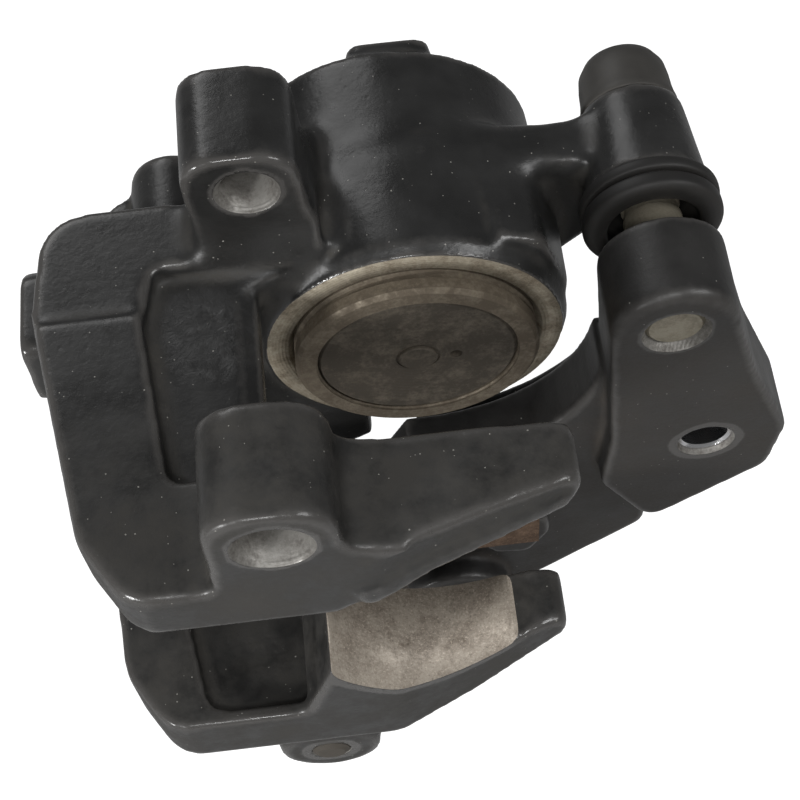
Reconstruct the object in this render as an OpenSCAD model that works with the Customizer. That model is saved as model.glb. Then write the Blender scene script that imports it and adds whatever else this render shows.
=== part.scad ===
// Single-piston sliding disc brake caliper on its carrier bracket, pads taken out.
// +X points away from the bridge towards the disc's centre, +Y from the fingers to the
// closed end of the cylinder, +Z to the near pad-pin side.
// The origin is the centre of the piston's face as it rests.

/* [Cylinder and piston] */
// Piston diameter
piston_d = 34; // [28:0.5:38]
// Length of the piston cup
piston_len = 30; // [26:1:34]
// Wall of the piston cup
piston_wall = 4; // [3:0.5:6]
// How far the piston stands out of the cylinder at rest
piston_out = 3.1; // [1:0.1:5]
// Depth of the cylinder bore behind its rim
bore_depth = 33; // [31:1:36]
// Radial running clearance of the piston
piston_gap = 0.05; // [0.03:0.01:0.1]
// Casting wall around the bore
barrel_wall = 4.5; // [3.5:0.5:6]
// Thickness of the closed end of the cylinder
barrel_floor = 6; // [5:0.5:8]
// Width of the machined ring round the bore
rim_width = 3.4; // [2:0.2:4]
// Width of the piston's ring round the disc let into its face
piston_ring_w = 3.05; // [2.5:0.05:5]
// Thickness of that disc
insert_t = 2.4; // [1.5:0.1:3]

/* [Seals] */
// Section of the square piston seal
seal_size = 3; // [2:0.2:3.4]
// Distance of the piston seal from the rim
seal_y = 7; // [6:0.5:9]
// Section of the dust seal
dust_size = 2; // [1.4:0.2:2.4]
// Distance of the dust seal from the rim
dust_y = 2.6; // [2:0.2:3]

/* [Fingers] */
// Distance from the piston's face at rest to the inner face of the fingers
pad_space = 26.5; // [22:0.5:30]
// Thickness of the fingers at the bridge
finger_t = 15; // [12:0.5:18]
// Reach of the fingers past the piston's axis
finger_reach = 16.8; // [14:0.2:20]
// Radius of the cut-out between the fingers, on the piston's axis
finger_cut_r = 18; // [15:0.5:19]
// Near side of the near finger
near_finger_z = 28.4; // [27:0.2:31]
// Far side of the far finger at the bridge
far_finger_z = -34; // [-38:0.5:-30]
// Taper of the fingers' outer face, as rise over run
finger_taper = 0.29; // [0.1:0.01:0.35]

/* [Bridge] */
// Outer side of the bridge
bridge_x = -49; // [-54:0.5:-44]
// Inner wall of the bridge, outside the disc's edge
bridge_inner_x = -20.2; // [-23:0.2:-19.6]
// Near side of the near arm
arm_near_z = 22; // [19:0.5:25]
// Thickness of the near arm
near_arm_t = 9.5; // [7:0.5:12]
// Thickness of the far arm
far_arm_t = 12; // [9:0.5:14]
// Rear edge of the arms
arm_back_y = 16; // [13:0.5:19]
// Depth of the ledge beside the arm's outer strip
ledge_drop = 3.6; // [1:0.2:5]
// Width of the ledge
ledge_w = 12.8; // [10:0.2:14]
// Depth of the pocket in the far arm
pocket_depth = 2.6; // [1:0.2:5]
// How far the far arm stands out past the near arm
far_arm_extra = 2.6; // [0:0.2:4]

/* [Pad pin] */
// Distance of the pad-pin axis from the piston's axis, across
pad_pin_x = -19; // [-21:0.5:-17]
// Height of the pad-pin axis
pad_pin_z = 33; // [31:0.5:36]
// Diameter of the rear pad-pin hole
pad_pin_rear_d = 7.2; // [5:0.2:8]
// Diameter of the front pad-pin hole
pad_pin_front_d = 8.8; // [7:0.2:9]
// Radius of the material round the pad-pin holes
pad_pin_boss_r = 7.4; // [6.5:0.2:9]

/* [Main guide pin] */
// Main pin axis, across
main_x = 33.4; // [32.4:0.2:36]
// Main pin axis, height
main_z = 13.1; // [11:0.1:15]
// Diameter of the main pin
main_d = 8; // [7:0.5:9]
// Outer radius of the pin bosses
main_boss_r = 8.6; // [8:0.1:9.4]
// Radial clearance of the main pin in its bush
main_gap = 0.05; // [0.02:0.01:0.1]
// Wall of the bush in the main boss
bush_t = 1.1; // [0.8:0.1:1.5]

/* [Second guide pin] */
// Second pin axis, across
second_x = -19.5; // [-21:0.5:-19]
// Second pin axis, height
second_z = -44; // [-47:0.5:-43.5]
// Diameter of the second pin
second_d = 6; // [5:0.5:7]
// Outer radius of its bosses
second_boss_r = 7.5; // [7:0.2:8]

/* [Carrier bracket] */
// Front face of the bracket's thick block
block_front_y = -8.5; // [-9:0.5:-7]
// Front face of the bracket's thinner web
web_front_y = -4; // [-5:0.5:-2]
// Rear face of the web
web_back_y = 5; // [4:0.5:7]
// Rear end of the main pin's boss on the bracket
bracket_boss_y = 4.3; // [3:0.1:5.5]
// Gap between the cylinder and the bracket's inner edge
bracket_clear = 3.5; // [2.5:0.5:5]
// Near fixing hole, across
fix_near_x = 40.3; // [38:0.5:42]
// Near fixing hole, height
fix_near_z = -18.3; // [-20:0.5:-16]
// Far fixing hole, across
fix_far_x = 3; // [1:0.5:5]
// Far fixing hole, height
fix_far_z = -66.5; // [-69:0.5:-65]
// Outer diameter of the thread inserts
insert_od = 8.4; // [8:0.1:10]
// Bore of the thread inserts
insert_bore_d = 6.8; // [6:0.1:7]

/* [Hydraulics] */
// Core diameter of the hose port
port_d = 9; // [8:0.1:9.2]
// Depth of the hose port's thread
port_depth = 10; // [8:0.5:12]
// Hose port, across
port_x = -32.2; // [-34:0.2:-30]
// Hose port, height
port_z = 4.5; // [2:0.5:5]
// Thread diameter of the bleed screw
bleed_d = 8; // [6:0.5:8]
// Hexagon of the bleed screw, across flats
bleed_hex = 8; // [7:0.5:9]

/* [Hidden] */
$fn = 48;

FAR = 200;                                  // longer than the part, for cutters
CUT = 0.5;                                  // how far a cutter runs past a face
piston_r = piston_d / 2;
insert_r = piston_r - piston_ring_w;        // seat of the disc in the piston's face
bore_r = piston_r + piston_gap;
rim_y = piston_out;                         // rim plane of the bore
rim_r = bore_r + rim_width;
barrel_r = bore_r + barrel_wall;
bore_end_y = rim_y + bore_depth;
barrel_end_y = bore_end_y + barrel_floor;
barrel_round = 6;                           // round at the closed end
barrel_neck = 3.4;                          // the closed end is this much smaller in radius
barrel_neck_y0 = 20;
barrel_neck_y1 = 28;
seal_r = bore_r + seal_size * 0.85;
dust_r = bore_r + dust_size * 0.95;
finger_in_y = -pad_space;
finger_out_y = finger_in_y - finger_t;
finger_taper_x = -8;                        // where the taper of the fingers starts
near_arm_z0 = arm_near_z - near_arm_t;
far_arm_z1 = far_finger_z + far_arm_t;
strip_x = bridge_inner_x - ledge_w;         // edge between the outer strip and the ledge
back_block_y0 = rim_y + 0.6;
body_boss_y0 = 13.2;                        // main pin boss on the body
body_boss_y1 = 27.5;
body_boss_taper = 1.3;
main_cap_len = 10;
main_r = main_d / 2;
bush_in_r = main_r + main_gap;
bush_out_r = bush_in_r + bush_t;
second_r = second_d / 2;
second_boss_front_y = finger_out_y + 2;
second_boss_rear_y = finger_in_y - 3;
bracket_second_y0 = -9;
bracket_second_y1 = 10;
bracket_inner_r = barrel_r + bracket_clear;
block_back_y = bracket_boss_y - 0.8;
port_boss_r = 6.1;
port_face_y = 33;
bleed_x = -37;                              // bleed screw axis lies along -Z
bleed_y = 24;
bleed_r = bleed_d / 2;
bleed_seat_z = -2;
bleed_mouth_z = far_finger_z + 12;
bleed_boss_r = bleed_r + 3;
fix_boss_wall = 4.3;                        // material round the far fixing hole
insert_recess = 0.9;                        // thread inserts and main pin lie this deep
bleed_thread_gap = 0.05;
main_pin_end_y = body_boss_y1 - 0.5;
second_pin_end_y = bracket_second_y1 - 1;
second_bush_in_r = second_r + main_gap;
second_bush_out_r = second_bush_in_r + 1.55;
anchor_z = -37;                             // near side of the pads' anchor lug
anchor_t = 5;                               // how far it stands out of the web

// Round-cornered outline: each row of pts is [x, y, corner radius]
function unit(v) = v / norm(v);
function corner(p, a, b, r, n) =
    let (u = unit(a - p), v = unit(b - p), half = acos(max(-1, min(1, u * v))) / 2,
        reach = r / tan(half), c = p + unit(u + v) * r / sin(half),
        s = p + u * reach - c, e = p + v * reach - c,
        turn = 180 - 2 * half, way = (s[0] * e[1] - s[1] * e[0]) > 0 ? 1 : -1)
    [for (i = [0:n]) let (t = way * turn * i / n)
        c + [s[0] * cos(t) - s[1] * sin(t), s[0] * sin(t) + s[1] * cos(t)]];
function rounded(pts, n = 5) = [for (i = [0:len(pts) - 1])
    let (m = len(pts), p = [pts[i][0], pts[i][1]],
        a = [pts[(i + m - 1) % m][0], pts[(i + m - 1) % m][1]],
        b = [pts[(i + 1) % m][0], pts[(i + 1) % m][1]])
    each (pts[i][2] > 0 ? corner(p, a, b, pts[i][2], n) : [p])];
// Points of an arc about the piston's axis, in X and Z, as rows for rounded()
function arc(r, a0, a1, n) = [for (i = [0:n])
    let (t = a0 + (a1 - a0) * i / n) [r * cos(t), r * sin(t), 0]];

// A cylinder along +Y from y0 to y1
module ycyl(x, z, y0, y1, r) {
    translate([x, y0, z]) rotate([-90, 0, 0]) cylinder(h = y1 - y0, r = r);
}
// A cone along +Y from radius r0 at y0 to r1 at y1
module ycone(x, z, y0, y1, r0, r1) {
    translate([x, y0, z]) rotate([-90, 0, 0]) cylinder(h = y1 - y0, r1 = r0, r2 = r1);
}
// An outline in X and Z, drawn along Y from y0 to y1
module yprism(y0, y1) {
    translate([0, y1, 0]) rotate([90, 0, 0]) linear_extrude(y1 - y0) children();
}
// An outline in X and Y, drawn along Z from z0 to z1
module zprism(z0, z1) {
    translate([0, 0, z0]) linear_extrude(z1 - z0) children();
}
// An outline in Y and Z, drawn along X from x0 to x1
module xprism(x0, x1) {
    translate([x0, 0, 0]) rotate([90, 0, 90]) linear_extrude(x1 - x0) children();
}
module block(lo, hi) {
    translate(lo) cube(hi - lo);
}
// A ring about an axis along Y: rows of pts are [radius, y]
module yring(x, z, pts) {
    translate([x, 0, z]) rotate([-90, 0, 0]) rotate_extrude() polygon(pts);
}

// ---- Caliper body -------------------------------------------------------------------

// Barrel: the round housing of the cylinder with its rounded closed end
module barrel() {
    e = barrel_end_y;
    k = barrel_round;
    yring(0, 0, concat(
        [[0, rim_y], [rim_r, rim_y], [rim_r + 0.3, rim_y + 0.9],
            [barrel_r - 0.4, rim_y + 1.1], [barrel_r, rim_y + 1.6]],
        [for (i = [0:6]) let (t = i / 6, b = (1 - cos(180 * t)) / 2)
            [barrel_r - barrel_neck * b, barrel_neck_y0 + (barrel_neck_y1 - barrel_neck_y0) * t]],
        [for (i = [0:6]) let (t = 15 * i)
            [barrel_r - barrel_neck - k + k * cos(t), e - k + k * sin(t)]],
        [[0, e]]));
}

// Side outline of an arm, in X and Y
module arm_outline(inset = 0, extra = 0) {
    polygon(rounded([
        [bridge_x + 1.5 + inset, arm_back_y - inset, 6.5],
        [bridge_x + inset, 1, 3],
        [bridge_x + 5.6 + inset - extra, finger_in_y - 6, 9],
        [bridge_x + 11.5 + inset - extra, finger_out_y + inset, 6],
        [bridge_inner_x, finger_out_y + inset, 0],
        [bridge_inner_x, arm_back_y - inset, 0]]));
}

module arms() {
    step = 0.8;                             // the rear half of the near face lies lower
    zprism(near_arm_z0, arm_near_z - step) arm_outline();
    intersection() {
        zprism(near_arm_z0 + 1, arm_near_z) arm_outline(0.5);
        block([bridge_x - 1, finger_out_y - 1, 0], [0, -1.5, FAR]);
    }
    zprism(far_finger_z, far_arm_z1) arm_outline(0, far_arm_extra);
}

// The wall that joins the arms behind the disc space and carries the barrel
module back_block() {
    zprism(far_finger_z + 1, arm_near_z - 1.5) polygon(rounded([
        [bridge_x + 2.5, arm_back_y - 0.5, 6],
        [bridge_x + 1, back_block_y0, 2],
        [bridge_inner_x + 1, back_block_y0, 0],
        [-8, rim_y + 4, 0],
        [-8, arm_back_y - 0.5, 0]]));
    zprism(bleed_mouth_z + 2, port_z) polygon(rounded([
        [bridge_x + 7, arm_back_y - 2, 0], [-8, arm_back_y - 2, 0],
        [-8, 29, 0], [-27, 29, 6], [bridge_x + 7, 21, 6]]));
    // low pad on the bridge's outer side
    xprism(bridge_x - 5.6, bridge_x + 4) polygon(rounded([
        [4.5, -8, 2], [20, -8, 2], [21, 2, 3], [18, 5, 2], [5.5, 5, 2]]));
}

// The near finger's outline in X and Z
module near_finger_outline() {
    r = finger_cut_r;
    tip = finger_reach;
    polygon(rounded(concat(
        [[strip_x - 3, near_arm_z0, 0],
            [-sqrt(r * r - near_arm_z0 * near_arm_z0), near_arm_z0, 0]],
        arc(r, 134, 106, 6),
        [[-1.5, r + 1.6, 4], [tip - 8, r + 3.4, 6], [tip - 0.6, near_finger_z - 6.4, 1.5],
            [tip + 0.3, near_finger_z - 1, 2.6], [4, near_finger_z, 6],
            [-12, near_finger_z, 4], [strip_x - 3, arm_near_z - 2.5, 0]])));
}

// The far finger's outline in X and Z
module far_finger_outline() {
    r = finger_cut_r;
    tip = finger_reach;
    polygon(rounded(concat(
        [[strip_x - 5, far_finger_z, 0], [strip_x - 5, far_arm_z1, 0],
            [bridge_inner_x - 1, far_arm_z1, 2]],
        arc(r, 205, 298, 16),
        [[tip - 5, -14.6, 2], [tip - 0.6, -15.6, 2], [tip - 0.8, -20, 2],
            [tip - 6, -23.4, 4], [3, -28.5, 5], [-9, far_finger_z + 0.3, 4]])));
}

module fingers() {
    y0 = finger_out_y;
    y1 = finger_in_y;
    intersection() {
        union() {
            yprism(y0, y1) near_finger_outline();
            yprism(y0, y1) far_finger_outline();
        }
        // the outer face falls back towards the tips
        zprism(far_finger_z - 5, FAR / 2) polygon([
            [bridge_x + 8, y0], [finger_taper_x, y0],
            [finger_reach + 5, y0 + (finger_reach + 5 - finger_taper_x) * finger_taper],
            [finger_reach + 5, y1], [bridge_x + 8, y1]]);
    }
}

// Raised strip along the foot of the near finger's outer face
module finger_strip() {
    proud = 0.9;
    r = finger_cut_r;
    intersection() {
        yprism(finger_out_y - proud, finger_in_y - 4) polygon(rounded([
            [-10, r - 2.4, 1], [-2, r + 1.2, 3], [finger_reach - 8, r + 3.2, 4],
            [finger_reach - 1.6, r + 4.6, 1], [finger_reach - 1.6, r + 7, 1],
            [finger_reach - 8, r + 6, 4], [-3, r + 4.4, 3], [-11, r + 1.4, 1]]));
        zprism(0, FAR) polygon([
            [-13, finger_out_y - proud], [finger_taper_x, finger_out_y - proud],
            [finger_reach, finger_out_y - proud + (finger_reach - finger_taper_x) * finger_taper],
            [finger_reach, finger_in_y - 4], [-13, finger_in_y - 4]]);
    }
}

// Front pad-pin boss, standing on the near finger
module front_pin_boss() {
    r = pad_pin_boss_r;
    yprism(finger_out_y, finger_in_y) polygon(rounded([
        [pad_pin_x - r - 0.8, arm_near_z - 4, 0], [pad_pin_x - r - 0.2, pad_pin_z + r, 5.5],
        [pad_pin_x + r - 0.4, pad_pin_z + r - 0.4, 6], [pad_pin_x + r + 0.6, near_finger_z + 1.5, 3],
        [pad_pin_x + r + 8, near_finger_z - 0.6, 0], [pad_pin_x + r, near_finger_z - 4, 0]], 8));
}

// Rear pad-pin boss, standing on the corner of the back block
module rear_pin_boss() {
    r = pad_pin_boss_r;
    yprism(7, 22) polygon(rounded([
        [pad_pin_x - r - 0.6, 8, 0], [pad_pin_x - r - 0.6, pad_pin_z + r - 0.6, 4.5],
        [pad_pin_x + r - 1, pad_pin_z + r - 0.8, 5.5], [pad_pin_x + r + 0.4, 24, 3],
        [-10, 14, 0]], 8));
    // the boss's foot runs forward to the rim and back onto the barrel
    xprism(pad_pin_x - r - 0.2, pad_pin_x + r + 0.8) polygon(rounded([
        [back_block_y0, 6, 0], [back_block_y0, 14, 2], [7.2, 25, 4], [9, 27, 0],
        [20, 27, 4], [27, 20, 4], [29, 8, 0]]));
}

// Main pin boss with the web that joins it to the barrel
module main_pin_boss() {
    ycone(main_x, main_z, body_boss_y0, body_boss_y1, main_boss_r, main_boss_r - body_boss_taper);
    yprism(body_boss_y0 + 4.4, body_boss_y1 - 2) polygon(rounded([
        [6, 19.5, 0], [12, 19.2, 4], [main_x - 8, main_z + main_boss_r - 4.4, 6],
        [main_x - 1, main_z + main_boss_r - 1.2, 3],
        [main_x + 2, main_z - 4, 2], [24, -2, 6], [12, -14, 0]]));
    // squared flank of the barrel under the web
    yprism(rim_y + 2.6, body_boss_y0 + 6) polygon(rounded([
        [9, 18.4, 0], [12.6, 18.8, 1.6], [18.2, 16.2, 4], [barrel_r + 0.2, 6, 3], [barrel_r - 1, -2, 0]]));
}

// Boss on the far finger's flank that holds the second guide pin
module second_boss() {
    r = second_boss_r;
    y0 = second_boss_front_y;
    y1 = second_boss_rear_y;
    ycyl(second_x, second_z, y0, y1, r);
    yprism(y0 + 1.2, y1) polygon([[second_x - r, second_z], [second_x - r - 2, far_finger_z + 1.5],
        [second_x + r + 3, far_finger_z + 1.5], [second_x + r, second_z]]);
}

// Raised bosses of the hose port and the bleed screw, at the back of the bridge
module hydraulic_bosses() {
    ycyl(-2.4, 1.6, barrel_neck_y0 + 1, barrel_end_y - 3.4, barrel_r - barrel_neck + 0.2);
    ycyl(port_x, port_z, 14, port_face_y - 0.6, port_boss_r);
    ycyl(port_x, port_z, 14, port_face_y, port_boss_r - 0.8);
    translate([bleed_x, bleed_y, bleed_mouth_z]) cylinder(h = 26, r = bleed_boss_r);
    translate([bleed_x, bleed_y - 9, bleed_mouth_z + 4])
        cube([18, 9 + bleed_boss_r * 0.8, 22]);
    // pad on the crown of the barrel's closed end
    yprism(barrel_end_y - 9, barrel_end_y - 0.6) polygon(rounded([
        [-6, 8, 0], [-5, barrel_r - barrel_neck + 1, 2],
        [6.6, barrel_r - barrel_neck + 0.6, 2], [7.6, 8, 0]]));
}

// Small foot on the far side of the far finger
module finger_foot() {
    yprism(finger_in_y - 7.5, finger_in_y - 3) polygon(rounded([
        [3, -25, 0], [3.6, -28, 1.2], [9.4, -25.6, 1.2], [10.4, -20, 0]]));
}

// Everything that is cut from the body, apart from the bores
module body_clearances() {
    // ledge beside the near arm's outer strip
    zprism(arm_near_z - ledge_drop, FAR) polygon(rounded([
        [strip_x, 5.6, 1.5], [strip_x - 1.6, -2.5, 2], [strip_x + 1, finger_in_y + 0.5, 2],
        [bridge_inner_x + 6, finger_in_y + 0.5, 0], [bridge_inner_x + 6, 5.6, 0]]));
    // machined edge that the backs of the pads pass
    yprism(finger_in_y + 0.5, rim_y + 0.2) polygon([
        [bridge_inner_x - 2, arm_near_z - ledge_drop + CUT], [bridge_inner_x - 2, arm_near_z - ledge_drop],
        [bridge_inner_x - 1.6, arm_near_z - ledge_drop - 0.8],
        [bridge_inner_x + 1, arm_near_z - ledge_drop - 1.6], [bridge_inner_x + 1, arm_near_z - ledge_drop + CUT]]);
    // pocket in the near side of the far arm and finger
    zprism(far_arm_z1 - pocket_depth, far_arm_z1 + 1) polygon(rounded([
        [strip_x - 5.4, -16, 3], [strip_x - 1.4, finger_out_y + 2.4, 3],
        [bridge_inner_x + 7, finger_out_y + 2.4, 3], [bridge_inner_x + 4, -16, 3]]));
}

module body_bores() {
    // cylinder with its seal grooves and the relief at the bottom
    ycyl(0, 0, rim_y - CUT, bore_end_y, bore_r);
    ycyl(0, 0, rim_y + dust_y, rim_y + dust_y + dust_size, dust_r);
    ycyl(0, 0, rim_y + seal_y, rim_y + seal_y + seal_size, seal_r);
    // pad-pin holes
    ycyl(pad_pin_x, pad_pin_z, 7 - CUT, 22 + CUT, pad_pin_rear_d / 2);
    ycyl(pad_pin_x, pad_pin_z, finger_out_y - CUT, finger_in_y + CUT, pad_pin_front_d / 2);
    // main pin bush
    ycyl(main_x, main_z, body_boss_y0 - CUT, body_boss_y1 + 1 + CUT, bush_out_r);
    // second guide pin, held in the far boss
    ycyl(second_x, second_z, second_boss_front_y - CUT, second_boss_rear_y + CUT, second_r);
    // hose port, then a drilling to the cylinder
    ycyl(port_x, port_z, port_face_y - port_depth, port_face_y + CUT, port_d / 2);
    translate([port_x, port_face_y - port_depth + 2, port_z]) rotate([0, 90, 0])
        cylinder(h = -port_x - bore_r + 1.5, r = 1.5);
    // bleed screw thread and its drilling
    translate([bleed_x, bleed_y, bleed_mouth_z - CUT])
        cylinder(h = bleed_seat_z - bleed_mouth_z + CUT, r = bleed_r);
    translate([bleed_x, bleed_y + 1.8, bleed_seat_z - 3]) rotate([0, 90, 0])
        cylinder(h = -bleed_x - bore_r + 1.5, r = 1);
}

module caliper_body() {
    color([0.13, 0.14, 0.15]) difference() {
        union() {
            barrel();
            arms();
            back_block();
            fingers();
            finger_strip();
            front_pin_boss();
            rear_pin_boss();
            main_pin_boss();
            second_boss();
            hydraulic_bosses();
            finger_foot();
        }
        body_clearances();
        body_bores();
    }
}

// ---- Carrier bracket ----------------------------------------------------------------

// Outline of the web in X and Z: round the barrel from the main pin to the second pin
module web_outline() {
    r = bracket_inner_r;
    polygon(rounded(concat(
        arc(r, -4, -96, 14),
        [[-8, -35.6, 2], [second_x + 2, second_z + second_boss_r, 2],
            [second_x - 1, second_z - second_boss_r, 3],
            [fix_far_x - 7, fix_far_z - 9.5, 7], [fix_far_x + 8, fix_far_z - 9, 7],
            [34.2, -53.5, 4], [34.6, -44, 1.5], [51, -28, 4], [48, -10, 3]])));
}

// Thick block under the main pin, which takes the near fixing bolt
module block_outline() {
    polygon(rounded([
        [main_x - main_boss_r, main_z, 0], [main_x - main_boss_r + 1.6, -16, 7],
        [25.4, -29, 4], [33.6, -43.4, 3], [50.6, -28.4, 4], [52, -17, 4],
        [main_x + main_boss_r + 3.6, 0, 6], [main_x + main_boss_r, main_z, 0]]));
}

// Lug that the ends of the pads press on
module anchor_lug() {
    yprism(web_front_y - anchor_t, web_front_y + 1) polygon(rounded([
        [3, anchor_z, 1], [17.4, anchor_z, 1.5], [18, anchor_z - 5, 2], [14.6, anchor_z - 12, 2],
        [9, anchor_z - 11, 2]]));
}

module carrier_bracket() {
    color([0.20, 0.19, 0.18]) difference() {
        union() {
            yprism(web_front_y, web_back_y) web_outline();
            yprism(block_front_y, block_back_y) block_outline();
            // boss of the main pin
            ycyl(main_x, main_z, block_front_y + 1, bracket_boss_y, main_boss_r);
            ycone(main_x, main_z, block_front_y, block_front_y + 1, main_boss_r - 1, main_boss_r);
            // boss of the second pin
            ycyl(second_x, second_z, bracket_second_y0, bracket_second_y1, second_boss_r);
            // rib along the back of the web
            yprism(web_back_y - 0.5, web_back_y + 3) polygon(rounded(concat(
                arc(bracket_inner_r + 3, -20, -92, 10), arc(bracket_inner_r + 7, -92, -20, 10))));
            // boss of the far fixing hole
            ycyl(fix_far_x, fix_far_z, block_front_y, block_back_y, insert_od / 2 + fix_boss_wall);
            anchor_lug();
        }
        // main pin seat
        ycyl(main_x, main_z, block_front_y - CUT, bracket_boss_y + CUT, main_r);
        // second pin's bush
        ycyl(second_x, second_z, bracket_second_y0 - CUT, bracket_second_y1 + CUT, second_bush_out_r);
        // seats of the thread inserts
        ycyl(fix_near_x, fix_near_z, block_front_y - CUT, block_back_y + CUT, insert_od / 2);
        ycyl(fix_far_x, fix_far_z, block_front_y - CUT, block_back_y + CUT, insert_od / 2);
    }
}

// A steel thread insert, a little below the bracket's front face
module thread_insert(x, z) {
    r = insert_od / 2;
    b = insert_bore_d / 2;
    y0 = block_front_y + insert_recess;
    yring(x, z, [[b + 0.4, y0], [r, y0], [r, block_back_y - 0.3], [b + 0.4, block_back_y - 0.3],
        [b, block_back_y - 0.7], [b, y0 + 0.4]]);
}

module near_thread_insert() {
    color("silver") thread_insert(fix_near_x, fix_near_z);
}

module far_thread_insert() {
    color("silver") thread_insert(fix_far_x, fix_far_z);
}

// Bent steel sheet on the lug that the pads' ends press on
module pad_anchor_clip() {
    t = 0.6;
    y0 = web_front_y - anchor_t;
    z0 = anchor_z;
    color([0.45, 0.33, 0.26]) xprism(5, 16) polygon([
        [y0 - t, z0 - 7], [y0, z0 - 7], [y0, z0], [y0 + anchor_t - 0.4, z0],
        [y0 + anchor_t - 0.4, z0 + t], [y0 - t, z0 + t]]);
}

// ---- Piston -------------------------------------------------------------------------

module piston() {
    r = piston_r;
    w = piston_r - piston_wall;
    i = insert_r;
    color([0.45, 0.42, 0.38]) yring(0, 0, [
        [0, insert_t + 0.4], [i, insert_t + 0.4], [i, 0.5], [i + 0.2, 0.3], [i + 0.2, 0],
        [r - 0.6, 0], [r, 0.6], [r, 2.2], [r - 0.5, 2.5], [r - 0.5, 3.1], [r, 3.4],
        [r, piston_len - 9.4], [r - 0.6, piston_len - 8.8], [r - 0.6, piston_len - 0.8],
        [r - 1.4, piston_len], [w, piston_len],
        [w, insert_t + piston_wall + 1], [w - 1, insert_t + piston_wall],
        [0, insert_t + piston_wall]]);
}

module piston_insert() {
    i = insert_r;
    y0 = 0.4;
    color([0.27, 0.24, 0.22]) difference() {
        union() {
            yring(0, 0, [[0, 0], [2.5, 0], [2.7, 0.2], [2.7, y0 + 0.2], [3.1, y0 + 0.2],
                [3.1, y0], [i - 0.5, y0], [i - 0.05, y0 + 0.45], [i - 0.05, y0 + insert_t],
                [0, y0 + insert_t]]);
        }
        ycyl(5.3, -0.3, y0 - CUT, y0 + 1.2, 0.9);
    }
}

// ---- Seals --------------------------------------------------------------------------

module piston_seal() {
    color([0.10, 0.10, 0.10]) difference() {
        ycyl(0, 0, rim_y + seal_y, rim_y + seal_y + seal_size, seal_r);
        ycyl(0, 0, rim_y + seal_y - CUT, rim_y + seal_y + seal_size + CUT, bore_r);
    }
}

module dust_seal() {
    y0 = rim_y + dust_y;
    color([0.12, 0.12, 0.12]) difference() {
        ycyl(0, 0, y0, y0 + dust_size, dust_r);
        ycyl(0, 0, y0 - CUT, y0 + dust_size + CUT, bore_r);
    }
}

// ---- Main guide pin, fixed in the bracket, sliding in the body ---------------------

module main_guide_pin() {
    r = main_r;
    y0 = block_front_y + insert_recess;
    color([0.62, 0.60, 0.56]) yring(main_x, main_z, [
        [0, y0], [r - 0.5, y0], [r, y0 + 0.5], [r, 9.6], [r - 0.35, 9.9], [r - 0.35, 11.1], [r, 11.4],
        [r, main_pin_end_y - 1.2], [r - 1.2, main_pin_end_y], [0, main_pin_end_y]]);
}

module main_pin_bush() {
    color([0.75, 0.72, 0.60]) difference() {
        ycyl(main_x, main_z, body_boss_y0 + 1.2, body_boss_y1 - 0.3, bush_out_r);
        ycyl(main_x, main_z, body_boss_y0, body_boss_y1, bush_in_r);
    }
}

// Rubber boot at the mouth of the body's boss
module main_pin_boot() {
    r0 = bush_in_r + 0.25;
    e = body_boss_y0;
    b = main_boss_r;
    color([0.09, 0.09, 0.09]) yring(main_x, main_z, [
        [r0, e + 1.1], [bush_out_r - 0.05, e + 1.1], [bush_out_r - 0.05, e],
        [b + 0.7, e], [b + 1, e - 0.6], [b + 0.8, e - 1.2], [b, e - 1.6], [b - 0.2, e - 2],
        [b + 0.6, e - 2.5], [b + 1, e - 3.4], [b + 0.7, e - 4.4], [b - 0.2, e - 5], [b - 1.4, e - 5.2],
        [b - 2.2, e - 4.8], [b - 2.4, e - 4], [b - 2, e - 2.8], [b - 2.6, e - 2], [r0, e - 1.4]]);
}

// Rubber cap that closes the body's boss at the back
module main_pin_cap() {
    e = body_boss_y1;
    r = main_boss_r - body_boss_taper - 0.4;
    k = 4;
    l = main_cap_len;
    w = 1.6;
    color([0.12, 0.12, 0.12]) yring(main_x, main_z, concat(
        [[r - w, e], [r, e]],
        [for (i = [0:5]) let (t = 18 * i) [r - k + k * cos(t) - 0.3, e + l - k + k * sin(t)]],
        [[0, e + l], [0, e + l - w], [r - w - 2, e + l - w], [r - w, e + l - w - 2]]));
}

// ---- Second guide pin, fixed in the body, sliding in the bracket --------------------

module second_guide_pin() {
    r = second_r;
    y0 = second_boss_front_y;
    color([0.55, 0.53, 0.50]) yring(second_x, second_z, [
        [0, y0 - 0.5], [r - 1, y0 - 0.5], [r - 0.2, y0], [r, y0 + 0.6],
        [r, second_pin_end_y - 1], [r - 1, second_pin_end_y], [0, second_pin_end_y]]);
}

module second_pin_bush() {
    color([0.11, 0.11, 0.11]) difference() {
        ycyl(second_x, second_z, bracket_second_y0 + 0.6, bracket_second_y1, second_bush_out_r);
        ycyl(second_x, second_z, bracket_second_y0, bracket_second_y1 + CUT, second_bush_in_r);
    }
}

// Rubber bellows over the second pin, between the bracket and the body's boss
module second_pin_boot() {
    a = second_boss_rear_y + 0.3;
    b = bracket_second_y0;
    n = 4;
    pitch = (b - 1.2 - a - 1.4) / n;
    ri = second_r + 0.3;
    color([0.10, 0.10, 0.10]) yring(second_x, second_z, concat(
        [[ri, a], [second_r + 2.2, a], [second_r + 2.4, a + 1.2]],
        [for (i = [0:n - 1]) each [[second_r + 1.7, a + 1.4 + pitch * (i + 0.15)],
            [second_r + 3.8, a + 1.4 + pitch * (i + 0.5)],
            [second_r + 1.7, a + 1.4 + pitch * (i + 0.85)]]],
        [[second_boss_r - 0.6, b - 1.2], [second_boss_r - 0.4, b], [ri, b]]));
}

// ---- Bleed screw --------------------------------------------------------------------

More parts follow.
